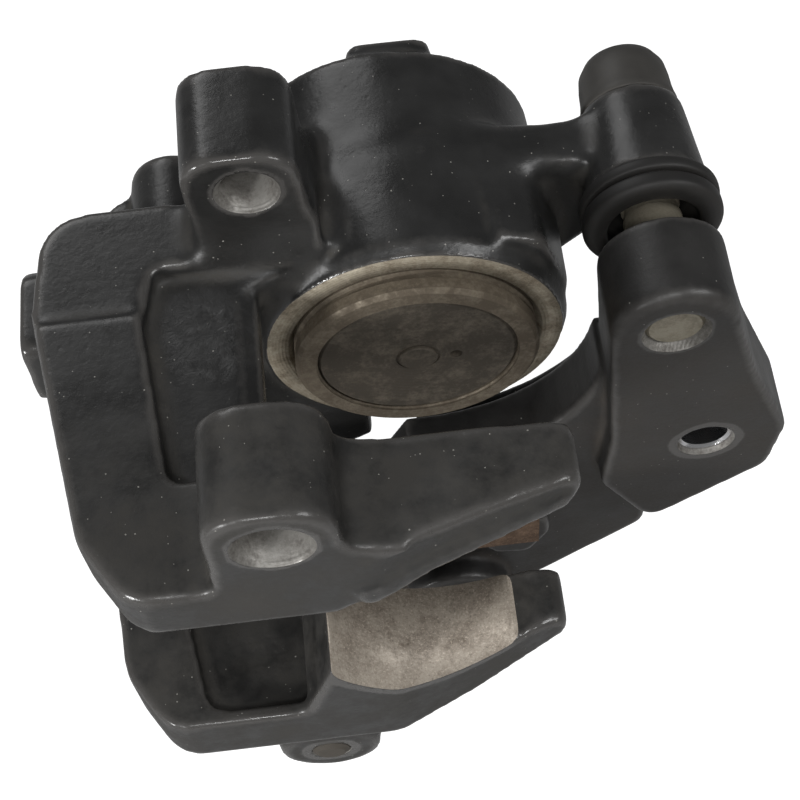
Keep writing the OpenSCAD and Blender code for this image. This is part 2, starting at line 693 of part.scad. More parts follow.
module bleed_screw() {
    r = bleed_r - bleed_thread_gap;
    m = bleed_mouth_z;
    color([0.68, 0.62, 0.45]) translate([bleed_x, bleed_y, 0]) difference() {
        union() {
            translate([0, 0, bleed_seat_z - 3]) cylinder(h = 2.8, r1 = r, r2 = 1.2);
            translate([0, 0, m - 1]) cylinder(h = bleed_seat_z - 3 - m + 1, r = r);
            translate([0, 0, m - 5.5]) cylinder(h = 4.5, r = bleed_hex / 2 / cos(30), $fn = 6);
            translate([0, 0, m - 8.5]) cylinder(h = 3.2, r = 2.4);
            translate([0, 0, m - 10.5]) cylinder(h = 2, r1 = 2.6, r2 = 3.3);
            translate([0, 0, m - 12]) cylinder(h = 1.5, r1 = 1.9, r2 = 2.6);
        }
        translate([0, 0, m - 13]) cylinder(h = bleed_seat_z - m + 6, r = 0.8);
        translate([-r - 1, 0, bleed_seat_z - 5.4]) rotate([0, 90, 0]) cylinder(h = 2 * r + 2, r = 0.7);
    }
}

module bleed_screw_cap() {
    m = bleed_mouth_z;
    b = 3.4;                                // clears the nipple's barb
    color([0.08, 0.08, 0.08]) translate([bleed_x, bleed_y, 0]) rotate_extrude() polygon([
        [b, m - 5.8], [b + 1.2, m - 5.8], [b + 1.5, m - 6.4], [b + 1.5, m - 8], [b + 1.1, m - 8.6],
        [b + 1, m - 12.6], [b + 0.2, m - 14], [0, m - 14.3], [0, m - 12.3], [b, m - 12.3]]);
}

caliper_body();
carrier_bracket();
piston();
piston_insert();
piston_seal();
dust_seal();
main_guide_pin();
main_pin_bush();
main_pin_boot();
main_pin_cap();
second_guide_pin();
second_pin_bush();
second_pin_boot();
bleed_screw();
bleed_screw_cap();
near_thread_insert();
far_thread_insert();
pad_anchor_clip();
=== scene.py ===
# %% [markdown]
# A sliding disc brake caliper on its carrier bracket, built up in Blender.
# The CAD model gives every piece its exact place. Here each piece gets the skin that
# the real one has: sand-cast corners under worn black paint, turned steel pins,
# moulded rubber boots and brown brake dust. Blender works in metres. Sizes of the
# pieces are written in millimetres, as on a drawing, and multiplied by MM.

# %% [markdown]
# The frame is the CAD model with its moving bodies. Loading it first means that every
# later piece is made in place, and the box measured here is the size to stay inside.

# %% Load the CAD frame
import math

import bmesh
import bpy
import numpy as np
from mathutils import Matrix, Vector


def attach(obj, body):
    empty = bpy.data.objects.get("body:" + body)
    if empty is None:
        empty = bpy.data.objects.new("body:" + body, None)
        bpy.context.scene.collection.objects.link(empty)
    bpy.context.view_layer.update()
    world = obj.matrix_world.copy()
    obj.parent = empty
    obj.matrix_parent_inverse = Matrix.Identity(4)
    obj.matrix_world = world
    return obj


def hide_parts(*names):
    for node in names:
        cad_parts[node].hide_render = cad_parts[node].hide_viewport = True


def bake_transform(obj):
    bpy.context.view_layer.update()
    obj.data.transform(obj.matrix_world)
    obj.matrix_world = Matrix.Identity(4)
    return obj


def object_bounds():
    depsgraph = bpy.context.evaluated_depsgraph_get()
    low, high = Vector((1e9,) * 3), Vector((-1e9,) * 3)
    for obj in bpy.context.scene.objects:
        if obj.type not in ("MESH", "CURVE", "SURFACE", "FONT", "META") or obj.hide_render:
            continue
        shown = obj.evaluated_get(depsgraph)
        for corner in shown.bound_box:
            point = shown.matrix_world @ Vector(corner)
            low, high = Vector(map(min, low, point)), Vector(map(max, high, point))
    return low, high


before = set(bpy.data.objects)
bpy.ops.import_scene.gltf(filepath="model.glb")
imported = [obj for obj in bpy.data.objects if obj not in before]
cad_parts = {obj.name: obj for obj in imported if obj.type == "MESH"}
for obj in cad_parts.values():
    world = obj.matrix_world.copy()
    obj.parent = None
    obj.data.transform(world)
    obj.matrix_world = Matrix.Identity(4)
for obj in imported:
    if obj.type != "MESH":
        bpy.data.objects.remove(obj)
cad_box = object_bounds()
MM = 0.001
print("CAD box:", [[round(v, 4) for v in corner] for corner in cad_box])

# %% [markdown]
# The camera looks steeply down on the open side of the caliper through a long lens,
# with a slight roll. A long lens keeps the two bosses and the two fingers in their
# true proportion, where a short one would swell whatever lies nearest.

# %% Camera
camera = bpy.data.objects.new("studio_camera", bpy.data.cameras.new("studio_camera"))
camera.data.sensor_width = 36
camera.data.lens = 76.5
camera.data.clip_start = 0.01
camera.location = (-0.00319, -0.12059, 0.20233)
camera.rotation_euler = [math.radians(a) for a in (29.341, 3.321, -5.885)]
bpy.context.scene.collection.objects.link(camera)
bpy.context.scene.camera = camera
print("camera at", [round(v, 4) for v in camera.location])

# %% [markdown]
# Finishes are wired from small nodes. By hand, each takes three lines: make it, set it,
# link it. These helpers do all three at once, and set up the sockets of a reusable node
# group, so that a finish reads as a short recipe.

# %% Node helpers
def feed(tree, socket, value):
    """Links a socket to another one, or gives it a plain value."""
    if isinstance(value, bpy.types.NodeSocket):
        tree.links.new(value, socket)
    else:
        socket.default_value = value


def node(tree, kind, feeds=None, **settings):
    made = tree.nodes.new("ShaderNode" + kind)
    for key, value in settings.items():
        setattr(made, key, value)
    for key, value in (feeds or {}).items():
        feed(tree, made.inputs[key], value)
    return made


def maths(tree, operation, a, b=0.0, clamp=False):
    return node(tree, "Math", {0: a, 1: b}, operation=operation, use_clamp=clamp).outputs[0]


def spread(tree, value, low, high, out_low=0.0, out_high=1.0):
    """Maps low..high to out_low..out_high and holds it there."""
    return node(tree, "MapRange", {"Value": value, "From Min": low, "From Max": high,
                                   "To Min": out_low, "To Max": out_high}).outputs[0]


def blend(tree, mask, under, over):
    """Lays one colour over another where the mask is 1."""
    under, over = [(*c, 1) if isinstance(c, tuple) else c for c in (under, over)]
    return node(tree, "Mix", {0: mask, 6: under, 7: over}, data_type="RGBA").outputs[2]


def new_group(name, inputs, outputs):
    tree = bpy.data.node_groups.new(name, "ShaderNodeTree")
    for label, kind, value in inputs:
        socket = tree.interface.new_socket(name=label, in_out="INPUT",
                                           socket_type="NodeSocket" + kind)
        socket.default_value = value
    for label, kind in outputs:
        tree.interface.new_socket(name=label, in_out="OUTPUT", socket_type="NodeSocket" + kind)
    given = tree.nodes.new("NodeGroupInput").outputs
    out = tree.nodes.new("NodeGroupOutput").inputs
    return tree, given, out


def place(tree, group, feeds):
    made = tree.nodes.new("ShaderNodeGroup")
    made.node_tree = group
    for key, value in feeds.items():
        feed(tree, made.inputs[key], value)
    return made.outputs


def place_of(tree):
    return node(tree, "TexCoord").outputs["Object"]


def noise(tree, spot, scale, detail, roughness=0.5, distortion=0.0):
    return node(tree, "TexNoise", {"Vector": spot, "Scale": scale, "Detail": detail,
                                   "Roughness": roughness, "Distortion": distortion}).outputs[0]


def new_finish(name):
    finish = bpy.data.materials.new(name)
    finish.use_nodes = True
    return finish, finish.node_tree, finish.node_tree.nodes["Principled BSDF"].inputs


print("helpers ready")

# %% [markdown]
# Black paint shows its shape only through what it reflects, so the light matters more
# than the paint's colour. A dim room fills the shadows, and four soft boxes light the
# casting: one high at the back for the upper faces, one low at the left for the rounded
# lower corners, one at the right for the bracket, and a small one above the viewer. It
# is small because a small lamp draws thin bright lines on round edges.

# %% Floor and light
FLOOR_HALF = 3.0
FLOOR_GAP = 0.0005
ROOM_LIGHT = 0.20


def studio_floor(z):
    mesh = bpy.data.meshes.new("studio_floor")
    s = FLOOR_HALF
    mesh.from_pydata([(-s, -s, z), (s, -s, z), (s, s, z), (-s, s, z)], [], [(0, 1, 2, 3)])
    floor = bpy.data.objects.new("studio_floor", mesh)
    bpy.context.scene.collection.objects.link(floor)
    paper, tree, shader = new_finish("floor_paper")
    shader["Base Color"].default_value = (0.5, 0.5, 0.5, 1)
    shader["Roughness"].default_value = 0.9
    shader["Specular IOR Level"].default_value = 0.0
    shader["Emission Color"].default_value = (1, 1, 1, 1)
    # the paper glows white to the eye, but sends little light up into the black paint
    seen = node(tree, "LightPath").outputs["Is Camera Ray"]
    tree.links.new(maths(tree, "MULTIPLY", seen, 0.85), shader["Emission Strength"])
    mesh.materials.append(paper)


def soft_box(name, spot, aim, size, watts):
    light = bpy.data.objects.new(name, bpy.data.lights.new(name, "AREA"))
    light.data.energy = watts
    light.data.size = size
    light.location = spot
    light.rotation_euler = (Vector(aim) - Vector(spot)).to_track_quat("-Z", "Y").to_euler()
    bpy.context.scene.collection.objects.link(light)


studio_floor(cad_box[0][2] - FLOOR_GAP)
soft_box("back_light", (-0.25, 0.50, 0.42), (0, 0, 0), 0.30, 0.7)
soft_box("left_light", (-0.50, -0.45, 0.20), (0, 0, -0.02), 0.12, 3.0)
soft_box("right_light", (0.45, -0.20, 0.45), (0, 0, 0), 0.20, 1.3)
soft_box("front_light", (-0.05, -0.42, 0.55), (0, 0, -0.01), 0.09, 1.2)
room = bpy.data.worlds.new("studio_room")
room.use_nodes = True
backdrop = room.node_tree.nodes["Background"].inputs
backdrop["Color"].default_value = (1, 1, 1, 1)
seen_wall = node(room.node_tree, "LightPath").outputs["Is Camera Ray"]
wall_glow = spread(room.node_tree, seen_wall, 0.0, 1.0, ROOM_LIGHT, 1.0)
room.node_tree.links.new(wall_glow, backdrop["Strength"])
bpy.context.scene.world = room
bpy.context.scene.view_settings.view_transform = "Standard"

# %% [markdown]
# Four effects turn up on nearly every piece: the grain of a casting, paint thinned on edges,
# where a lighter grey also paints a sheen, brake dust that settles on one side and in
# hollows, and tiny bright specks.
# Each is one node group, so that a change to it shows on the whole caliper.
#
# The first is the grain. Sand leaves fine noise over the whole skin, broad lumps, and
# pits in patches. Fine and broad noise are added, and a cell pattern is taken away only
# where the broad noise is high, because real pits come in families.

# %% Effect: the grain and pits of a casting
def make_cast_grain():
    tree, given, out = new_group(
        "cast_grain", [("Scale", "Float", 900.0), ("Pits", "Float", 0.5)],
        [("Height", "Float"), ("Tone", "Float")])
    spot = place_of(tree)
    fine = noise(tree, spot, given["Scale"], 6.0, 0.6)
    broad = noise(tree, spot, 160.0, 3.0)
    pit = node(tree, "TexVoronoi", {"Vector": spot, "Scale": 700.0, "Randomness": 1.0})
    hole = spread(tree, pit.outputs["Distance"], 0.0, 0.3, 1.0, 0.0)
    chosen = spread(tree, broad, 0.55, 0.65)
    dents = maths(tree, "MULTIPLY", maths(tree, "MULTIPLY", hole, chosen), given["Pits"])
    lumps = maths(tree, "MULTIPLY", broad, 0.35)
    total = maths(tree, "SUBTRACT", maths(tree, "ADD", fine, lumps), dents)
    tree.links.new(total, out["Height"])
    tree.links.new(spread(tree, broad, 0.3, 0.7), out["Tone"])
    return tree


cast_grain = make_cast_grain()
print("group", cast_grain.name, len(cast_grain.nodes), "nodes")

# %% [markdown]
# Paint is thinnest where hands and stones touch, on the edges. Each mesh will carry a
# value named relief, measured from its own shape, that is high on edges and low in
# hollows. Noise shifts it, so that the line of wear wanders as a real one does. The same
# edge mask also lays a painted sheen, a lighter grey, along the edges.

# %% Effect: thin paint on the edges, and a painted edge sheen
def make_edge_wear_and_sheen():
    tree, given, out = new_group(
        "edge_wear_and_sheen", [("Start", "Float", 0.08), ("Full", "Float", 0.2), ("Breakup", "Float", 0.1)],
        [("Mask", "Float")])
    relief = node(tree, "Attribute", attribute_name="relief").outputs["Fac"]
    rough = noise(tree, place_of(tree), 700.0, 6.0, 0.7)
    shift = maths(tree, "MULTIPLY", maths(tree, "SUBTRACT", rough, 0.5), given["Breakup"])
    high = maths(tree, "ADD", relief, shift)
    tree.links.new(spread(tree, high, given["Start"], given["Full"]), out["Mask"])
    return tree


edge_wear_and_sheen = make_edge_wear_and_sheen()
print("group", edge_wear_and_sheen.name, len(edge_wear_and_sheen.nodes), "nodes")

# %% [markdown]
# Brake dust is thrown from the disc, so it lies on the faces that look that way, and it
# stays in hollows that nothing wipes. The two are added, then broken by a cloudy noise
# for the patches and a very fine one for the grains.

# %% Effect: brake dust on one side and in the hollows
def make_brake_dust():
    tree, given, out = new_group(
        "brake_dust", [("Facing", "Vector", (0.0, -1.0, 0.0)), ("On faces", "Float", 0.5),
                       ("In hollows", "Float", 0.6), ("Patch scale", "Float", 90.0)],
        [("Mask", "Float"), ("Height", "Float")])
    coords = node(tree, "TexCoord")
    toward = node(tree, "VectorMath", {0: coords.outputs["Normal"], 1: given["Facing"]},
                  operation="DOT_PRODUCT").outputs["Value"]
    faces = maths(tree, "MULTIPLY", spread(tree, toward, 0.1, 0.9), given["On faces"])
    relief = node(tree, "Attribute", attribute_name="relief").outputs["Fac"]
    hollow = maths(tree, "MULTIPLY", spread(tree, relief, -0.02, -0.16), given["In hollows"])
    patch = noise(tree, coords.outputs["Object"], given["Patch scale"], 8.0, 0.65)
    fine = noise(tree, coords.outputs["Object"], 2600.0, 4.0)
    cover = maths(tree, "ADD", faces, hollow)
    broken = maths(tree, "MULTIPLY", cover, spread(tree, patch, 0.3, 0.62, 0.25, 1.15))
    grains = spread(tree, fine, 0.3, 0.7, 0.6, 1.2)
    mask = maths(tree, "MULTIPLY", broken, grains, clamp=True)
    tree.links.new(mask, out["Mask"])
    tree.links.new(maths(tree, "MULTIPLY", mask, fine), out["Height"])
    return tree


brake_dust = make_brake_dust()
print("group", brake_dust.name, len(brake_dust.nodes), "nodes")

# %% [markdown]
# Grit has chipped the paint here and there into pale specks. A cell pattern gives each
# cell a random colour: its red picks the few cells that hold a speck, and its green
# says how large the speck is.

# %% Effect: scattered pale specks
def make_specks():
    tree, given, out = new_group(
        "specks", [("Scale", "Float", 1800.0), ("Share", "Float", 0.05), ("Size", "Float", 0.22)],
        [("Mask", "Float")])
    cell = node(tree, "TexVoronoi", {"Vector": place_of(tree), "Scale": given["Scale"]})
    draw = node(tree, "SeparateColor", {"Color": cell.outputs["Color"]}).outputs
    chosen = maths(tree, "LESS_THAN", draw[0], given["Share"])
    size = maths(tree, "MULTIPLY", given["Size"], draw[1])
    dot = maths(tree, "LESS_THAN", cell.outputs["Distance"], size)
    tree.links.new(maths(tree, "MULTIPLY", chosen, dot), out["Mask"])
    return tree


specks = make_specks()
print("group", specks.name, len(specks.nodes), "nodes")

# %% [markdown]
# The paint is a thin dark coat: nearly black, greyer and shinier on the edges that hands
# and stones wear thin, and brown and dull where brake dust sticks. That grey on the edges
# is bare wear and also a painted sheen. Whatever stands on the disc's side of the bridge is
# dusty all round. One patch of the casting was never smoothed, and shows a rough crust.
# One recipe with a few knobs serves both castings.

# %% Finish: worn black paint
# grey of thin paint on the edges, which is also a painted sheen
WORN_AND_SHEEN_GREY = (0.10, 0.095, 0.09)
SPECK_WHITE = (0.35, 0.34, 0.31)


def disc_side_dust(tree, amount):
    """A cloudy dust that grows from the bridge towards the fingers."""
    along = node(tree, "SeparateXYZ", {"Vector": place_of(tree)}).outputs["Y"]
    near_disc = maths(tree, "MULTIPLY", spread(tree, along, -0.014, -0.030), amount)
    cloud = noise(tree, place_of(tree), 130.0, 7.0, 0.7)
    return maths(tree, "MULTIPLY", near_disc, spread(tree, cloud, 0.38, 0.62, 0.2, 1.35))


def rough_crust(tree, centre, radius):
    """A lumpy height inside a ball, both given in mm."""
    spot = place_of(tree)
    away = node(tree, "VectorMath", {0: spot, 1: tuple(v * MM for v in centre)},
                operation="DISTANCE").outputs["Value"]
    inside = spread(tree, away, radius * MM, radius * 0.45 * MM)
    lumps = noise(tree, spot, 520.0, 7.0, 0.75, 0.8)
    return maths(tree, "MULTIPLY", maths(tree, "MULTIPLY", lumps, inside), 9.0)


def painted(name, coat, dust, dust_faces, dust_hollows, rough, grain, wear_and_sheen, speck_share,
            rough_patch=None, disc_side=0.0):
    finish, tree, shader = new_finish(name)
    skin = place(tree, cast_grain, {"Scale": 900.0, "Pits": 0.6})
    rubbed_and_sheen = place(tree, edge_wear_and_sheen, {"Start": 0.07, "Full": 0.2, "Breakup": 0.16})["Mask"]
    grime = place(tree, brake_dust, {"On faces": dust_faces, "In hollows": dust_hollows})
    dots = place(tree, specks, {"Share": speck_share})["Mask"]
    dusty = maths(tree, "MAXIMUM", grime["Mask"], disc_side_dust(tree, disc_side))
    # edges are wiped clean and polished by whatever brushes past them
    dusty = maths(tree, "MULTIPLY", dusty, spread(tree, rubbed_and_sheen, 0.0, 1.0, 1.0, 0.25))
    light_coat = tuple(c * 1.7 + 0.004 for c in coat)
    colour = blend(tree, skin["Tone"], coat, light_coat)
    # edges turn lighter grey: thin paint, and a painted edge sheen
    colour = blend(tree, maths(tree, "MULTIPLY", rubbed_and_sheen, wear_and_sheen), colour, WORN_AND_SHEEN_GREY)
    colour = blend(tree, dusty, colour, dust)
    colour = blend(tree, maths(tree, "MULTIPLY", dots, 0.7), colour, SPECK_WHITE)
    tree.links.new(colour, shader["Base Color"])
    dull = spread(tree, dusty, 0.0, 0.6, rough, 0.8)
    dull = maths(tree, "ADD", dull, spread(tree, skin["Tone"], 0.0, 1.0, -0.05, 0.07))
    dull = maths(tree, "SUBTRACT", dull, maths(tree, "MULTIPLY", rubbed_and_sheen, 0.10))
    tree.links.new(dull, shader["Roughness"])
    height = maths(tree, "ADD", skin["Height"], maths(tree, "MULTIPLY", grime["Height"], 0.5))
    if rough_patch:
        height = maths(tree, "ADD", height, rough_crust(tree, *rough_patch))
    bump = node(tree, "Bump", {"Height": height, "Strength": grain, "Distance": 0.0002})
    tree.links.new(bump.outputs[0], shader["Normal"])
    return finish


caliper_paint = painted(
    "caliper_paint", coat=(0.0120, 0.0120, 0.0118), dust=(0.060, 0.055, 0.047),
    dust_faces=0.13, dust_hollows=0.6, rough=0.29, grain=0.25, wear_and_sheen=0.6, speck_share=0.09,
    rough_patch=((-26, -2, 18.4), 10), disc_side=0.36)
bracket_paint = painted(
    "bracket_paint", coat=(0.012, 0.0115, 0.011), dust=(0.056, 0.046, 0.036),
    dust_faces=0.3, dust_hollows=0.45, rough=0.42, grain=0.25, wear_and_sheen=0.5, speck_share=0.03)
print("paints:", caliper_paint.name, bracket_paint.name)

# %% [markdown]
# A cut face is bare metal: pale, finely scored along the tool's path, and here stained
# tan by dust. The scores are rings round the axis of the cut, drawn by a wave over the
# distance from that axis. The stain is a patchy cover, and a sandy noise adds grains
# that are lighter and darker than the metal.

# %% Finish: bare machined metal
MAIN_AXIS = (33.4, 13.1)
SECOND_AXIS = (-19.5, -44)
PAD_PIN_AXIS = (-19, 33)
NEAR_FIXING_AXIS = (40.3, -18.3)
FAR_FIXING_AXIS = (3, -66.5)
HOSE_AXIS = (-32.2, 4.5)
BORE_AXIS = (0, 0)


def machined(name, metal_colour, stain, stained, axis, ring_scale=2200.0, speckled=0.0,
             rough=0.45, metallic=0.8):
    """The axis is the (x, z), in mm, that the scores run round."""
    finish, tree, shader = new_finish(name)
    shader["Metallic"].default_value = metallic
    spot = place_of(tree)
    centre = (axis[0] * MM, 0.0, axis[1] * MM)
    arm = node(tree, "VectorMath", {0: spot, 1: centre}, operation="SUBTRACT").outputs[0]
    arm = node(tree, "VectorMath", {0: arm, 1: (1.0, 0.0, 1.0)}, operation="MULTIPLY").outputs[0]
    radius = node(tree, "VectorMath", {0: arm}, operation="LENGTH").outputs["Value"]
    rings = maths(tree, "SINE", maths(tree, "MULTIPLY", radius, ring_scale * math.tau))
    patch = noise(tree, spot, 220.0, 8.0, 0.7)
    fine = noise(tree, spot, 1500.0, 6.0, 0.7)
    cover = spread(tree, maths(tree, "ADD", patch, maths(tree, "MULTIPLY", fine, 0.5)),
                   0.95 - stained, 1.25 - stained)
    colour = blend(tree, cover, metal_colour, stain)
    sand = noise(tree, spot, 3200.0, 3.0, 0.8)
    pale = maths(tree, "MULTIPLY", spread(tree, sand, 0.56, 0.66), speckled * 2.2, clamp=True)
    colour = blend(tree, pale, colour, tuple(min(1.0, c * 1.6) for c in metal_colour))
    dark = maths(tree, "MULTIPLY", spread(tree, sand, 0.42, 0.33), speckled * 2.2, clamp=True)
    colour = blend(tree, dark, colour, tuple(c * 0.45 for c in stain))
    tree.links.new(colour, shader["Base Color"])
    tree.links.new(spread(tree, cover, 0.0, 1.0, rough, 0.8), shader["Roughness"])
    height = maths(tree, "ADD", maths(tree, "MULTIPLY", rings, 0.3), fine)
    bump = node(tree, "Bump", {"Height": height, "Strength": 0.35, "Distance": 0.0001})
    tree.links.new(bump.outputs[0], shader["Normal"])
    return finish


cut_alloy = machined("cut_alloy", (0.46, 0.41, 0.32), (0.19, 0.155, 0.11), 0.35, BORE_AXIS,
                     speckled=0.12, metallic=0.35)
cut_arc = machined("cut_arc", (0.41, 0.36, 0.30), (0.20, 0.165, 0.13), 0.3, BORE_AXIS,
                   ring_scale=900.0, speckled=0.3, metallic=0.25)
cut_hole = machined("cut_hole", (0.30, 0.29, 0.27), (0.09, 0.08, 0.07), 0.3, PAD_PIN_AXIS,
                    speckled=0.1, metallic=0.5)
print("cuts:", cut_alloy.name, cut_arc.name, cut_hole.name)

# %% [markdown]
# Most tools that cut this caliper turn about an axis, as do its boots and pins, so the
# first shop tool is a lathe: rows of radius and length, spun into a closed solid. Rods
# are its simplest use. A prism does the rest, an outline drawn out along the axis.

# %% Shop tools: pieces and the lathe
def new_piece(name, mesh):
    piece = bpy.data.objects.new(name, mesh)
    bpy.context.scene.collection.objects.link(piece)
    return piece


def lathe(name, rows, centre, steps=96, finish=None):
    """A solid turned about an axis along Y. Rows are (radius, y) in mm, centre is (x, z)."""
    build = bmesh.new()
    rings = []
    for r, y in rows:
        turns = [0.0] if r < 1e-6 else [2 * math.pi * k / steps for k in range(steps)]
        rings.append([build.verts.new(((centre[0] + r * math.cos(t)) * MM, y * MM,
                                       (centre[1] + r * math.sin(t)) * MM)) for t in turns])
    pairs = list(zip(rings, rings[1:]))
    if rows[0][0] > 1e-6 and rows[-1][0] > 1e-6:
        pairs.append((rings[-1], rings[0]))
    for a, b in pairs:
        if len(a) == 1 and len(b) == 1:
            continue
        for k in range(steps):
            j = (k + 1) % steps
            if len(a) == 1:
                corners = [a[0], b[j], b[k]]
            elif len(b) == 1:
                corners = [a[k], a[j], b[0]]
            else:
                corners = [a[k], a[j], b[j], b[k]]
            build.faces.new(corners)
    bmesh.ops.recalc_face_normals(build, faces=build.faces)
    mesh = bpy.data.meshes.new(name)
    build.to_mesh(mesh)
    build.free()
    if finish:
        mesh.materials.append(finish)
    return mesh


def rod(name, x, z, y0, y1, r, finish=None, steps=96):
    return lathe(name, [(0, y0), (r, y0), (r, y1), (0, y1)], (x, z), steps, finish)


def prism(name, outline, y0, y1, finish=None):
    """An outline of (x, z) points in mm, drawn from y0 to y1; either may be a function of x."""
    build = bmesh.new()
    ends = []
    for y in (y0, y1):
        reach = y if callable(y) else lambda x, flat=y: flat
        ends.append([build.verts.new((x * MM, reach(x) * MM, z * MM)) for x, z in outline])
    n = len(outline)
    for k in range(n):
        j = (k + 1) % n
        build.faces.new([ends[0][k], ends[0][j], ends[1][j], ends[1][k]])
    build.faces.new(ends[0])
    build.faces.new(ends[1])
    bmesh.ops.triangulate(build, faces=build.faces)
    bmesh.ops.recalc_face_normals(build, faces=build.faces)
    mesh = bpy.data.meshes.new(name)
    build.to_mesh(mesh)
    build.free()
    if finish:
        mesh.materials.append(finish)
    return mesh

# %% [markdown]
# Three tools change a mesh: a boolean that adds or cuts, a weld that joins the CAD's
# separate faces into one skin, and a wrap that lays one even mesh over a shape. Each
# cutter carries its own finish, which its cut leaves on the casting.

# %% Shop tools: modifiers, wrapping and cutting
def apply_modifiers(piece):
    graph = bpy.context.evaluated_depsgraph_get()
    mesh = bpy.data.meshes.new_from_object(piece.evaluated_get(graph))
    piece.modifiers.clear()
    piece.data = mesh


def boolean(piece, meshes, operation):
    """Adds or cuts each mesh in turn. A slot number says which finish its faces get."""
    slots = piece.data.materials
    for mesh in meshes:
        tool = new_piece("shop_tool", mesh)
        if mesh.materials and mesh.materials[0].name not in slots:
            slots.append(mesh.materials[0])
        number = slots.find(mesh.materials[0].name) if mesh.materials else 0
        mesh.materials.clear()
        for finish in slots:
            mesh.materials.append(finish)
        mesh.polygons.foreach_set("material_index", [number] * len(mesh.polygons))
        cut = piece.modifiers.new("cut", "BOOLEAN")
        cut.operation = operation
        cut.solver = "MANIFOLD"
        cut.object = tool
        apply_modifiers(piece)
        slots = piece.data.materials
        bpy.data.objects.remove(tool)


WELD_GAP = 1e-7


def welded_copy(name, node_name):
    """The CAD node's mesh with its faces joined, because the CAD keeps them apart."""
    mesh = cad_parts[node_name].data.copy()
    build = bmesh.new()
    build.from_mesh(mesh)
    bmesh.ops.remove_doubles(build, verts=build.verts, dist=WELD_GAP)
    bmesh.ops.dissolve_degenerate(build, edges=build.edges, dist=WELD_GAP / 10)
    build.to_mesh(mesh)
    build.free()
    mesh.materials.clear()
    return new_piece(name, mesh)


def even_mesh(piece, voxel):
    wrap = piece.modifiers.new("wrap", "REMESH")
    wrap.mode = "VOXEL"
    wrap.voxel_size = voxel
    apply_modifiers(piece)

# %% [markdown]
# A bevel can't follow the odd corners of a casting, so corners are rubbed instead: every
# point of the even mesh moves towards the middle of its neighbours, a few times over.
# The same rubbing measures relief. A point that a long rub would pull inwards stands on
# an edge, and one that it would push outwards lies in a hollow.

# %% Shop tools: rubbing soft, and measuring relief
def neighbours(mesh):
    edges = np.empty(len(mesh.edges) * 2, np.int64)
    mesh.edges.foreach_get("vertices", edges)
    edges = edges.reshape(-1, 2)
    ends = np.concatenate([edges, edges[:, ::-1]])
    count = np.bincount(ends[:, 0], minlength=len(mesh.vertices))
    return ends[:, 0], ends[:, 1], np.maximum(count, 1)


def rub(points, web, rounds, strength=0.5):
    """Moves every point towards the middle of its neighbours, as filing does."""
    a, b, count = web
    for _ in range(rounds):
        middle = np.stack([np.bincount(a, points[b, i], len(points)) for i in range(3)], 1)
        points = points + (middle / count[:, None] - points) * np.reshape(strength, (-1, 1))
    return points


def points_of(mesh):
    flat = np.empty(len(mesh.vertices) * 3)
    mesh.vertices.foreach_get("co", flat)
    return flat.reshape(-1, 3)


def set_points(mesh, points):
    mesh.vertices.foreach_set("co", points.ravel())
    mesh.update()


def near(points, centre, radius, fade):
    """1 inside a ball, falling to 0 over the fade, all in mm."""
    away = np.linalg.norm(points / MM - np.array(centre), axis=1)
    return np.clip((radius + fade - away) / fade, 0, 1)


def note_relief(mesh, rounds=14):
    """Stores how far each point stands proud of its surroundings: edges +, hollows -."""
    points = points_of(mesh)
    soft = rub(points, neighbours(mesh), rounds, 0.5)
    normals = np.empty(len(points) * 3)
    mesh.vertices.foreach_get("normal", normals)
    relief = ((points - soft) * normals.reshape(-1, 3)).sum(1) / MM
    stored = mesh.attributes.new("relief", "FLOAT", "POINT")
    stored.data.foreach_set("value", relief.astype(np.float32))
    low, middle, high = np.round(np.percentile(relief, [10, 50, 90]), 3)
    print(mesh.name, len(points), "points, relief", low, middle, high)

# %% [markdown]
# The caliper's body is one sand casting. Its corners are soft because sand can't hold
# a sharp one, but the bore, its rim, the pin holes and the arc between the fingers
# were cut later and are crisp. So the CAD shape is filled where the tools cut, wrapped
# in one even mesh, rubbed soft, and only then cut.

# %% Caliper casting: fill, wrap and soften
CASTING_VOXEL = 0.55
CASTING_RUBS = 7
FILLET_RUBS = 60
DEEP_FILLETS = [((-8, 22, 23), 7), ((-22, 12, 24), 5), ((15, 22, 20), 7)]


def finger_front(x):
    """The fingers' outer face falls back towards their tips."""
    return -41.5 + max(0.0, x + 8) * 0.29


def arc_fill(a0, a1):
    """A curved bar along the arc, so that its edges stay sharp when it is cut."""
    turns = [math.radians(a0 + (a1 - a0) * k / 24) for k in range(25)]
    outline = [(15.4 * math.cos(t), 15.4 * math.sin(t)) for t in turns]
    outline += [(18.6 * math.cos(t), 18.6 * math.sin(t)) for t in reversed(turns)]
    return prism("fill", outline, finger_front, -26.5)


def soft_casting():
    piece = welded_copy("caliper_casting", "caliper_body")
    fill = [rod("fill", *BORE_AXIS, 0.4, 38, 20.45), rod("fill", *PAD_PIN_AXIS, 7, 22, 5),
            rod("fill", *PAD_PIN_AXIS, -41.5, -26.5, 6), rod("fill", *MAIN_AXIS, 13.2, 27.5, 6),
            rod("fill", *HOSE_AXIS, 22, 33, 4.8), rod("fill", *SECOND_AXIS, -39.5, -29.5, 4),
            arc_fill(205, 298)]
    boolean(piece, fill, "UNION")
    even_mesh(piece, CASTING_VOXEL * MM)
    points = points_of(piece.data)
    web = neighbours(piece.data)
    points = rub(points, web, CASTING_RUBS)
    # deep hollows where the rear pin boss and the main pin's arm run into the barrel
    deep = np.maximum.reduce([near(points, spot, r, 5) for spot, r in DEEP_FILLETS])
    points = rub(points, web, FILLET_RUBS, 0.5 * deep)
    set_points(piece.data, points)
    return piece


casting = soft_casting()
casting.data.materials.clear()
casting.data.materials.append(caliper_paint)
print("casting", len(casting.data.vertices), "points")

# %% [markdown]
# The cuts come next, in the order of a machine shop: the rim and the bore, the two holes
# of the pad pin with their small countersinks, the seats, and the arc that a wide cutter
# leaves between the fingers. They are clean cylinders, so their edges stay crisp.

